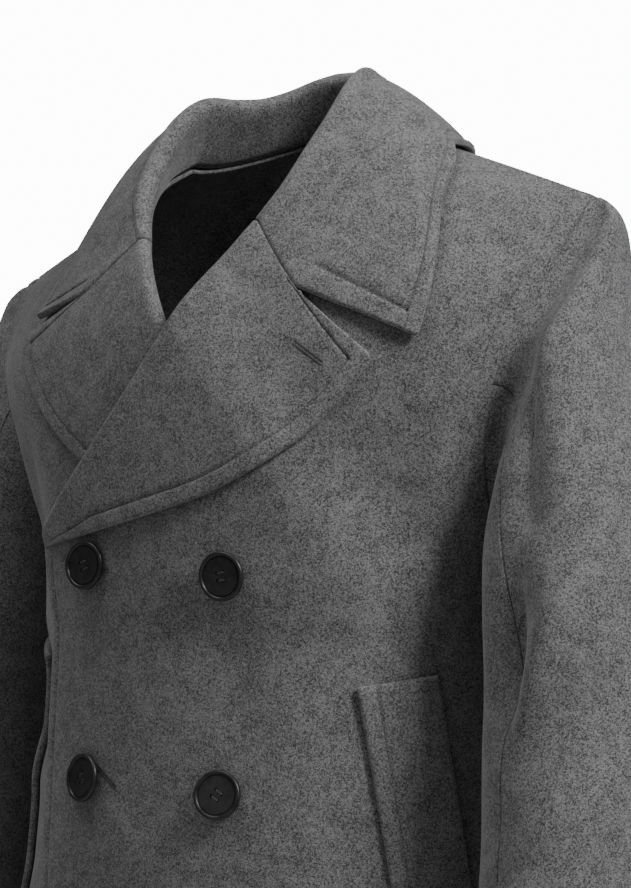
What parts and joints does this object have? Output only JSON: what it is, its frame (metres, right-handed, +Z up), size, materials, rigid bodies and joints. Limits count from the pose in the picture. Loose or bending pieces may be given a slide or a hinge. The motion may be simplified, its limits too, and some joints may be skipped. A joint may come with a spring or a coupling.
{
  "type": "pea coat",
  "caption": "Double-breasted wool pea coat, hollow as worn, with a broad notched collar, turned-back lapels, slanted pocket welts and round buttons.",
  "frame": {"origin": "middle of the shoulder line, where the shoulders carry the coat", "axes": "+Z up, -Y the way the coat faces, +X towards the coat's own left side"},
  "size_m": [0.593, 0.2864, 0.7927],
  "materials": {
    "wool": "felted melton wool with a short nap",
    "horn": "satin"
  },
  "bodies": {
    "root": {"front_left": "wool", "front_right": "wool", "back_left": "wool", "back_right": "wool", "sleeve_left_top": "wool", "sleeve_left_under": "wool", "sleeve_right_top": "wool", "sleeve_right_under": "wool", "pocket_welt_left": "wool", "pocket_welt_right": "wool", "collar": "wool", "button_edge_1": "horn", "button_inner_1": "horn", "button_edge_2": "horn", "button_inner_2": "horn", "button_edge_3": "horn", "button_inner_3": "horn"}
  },
  "joints": []
}
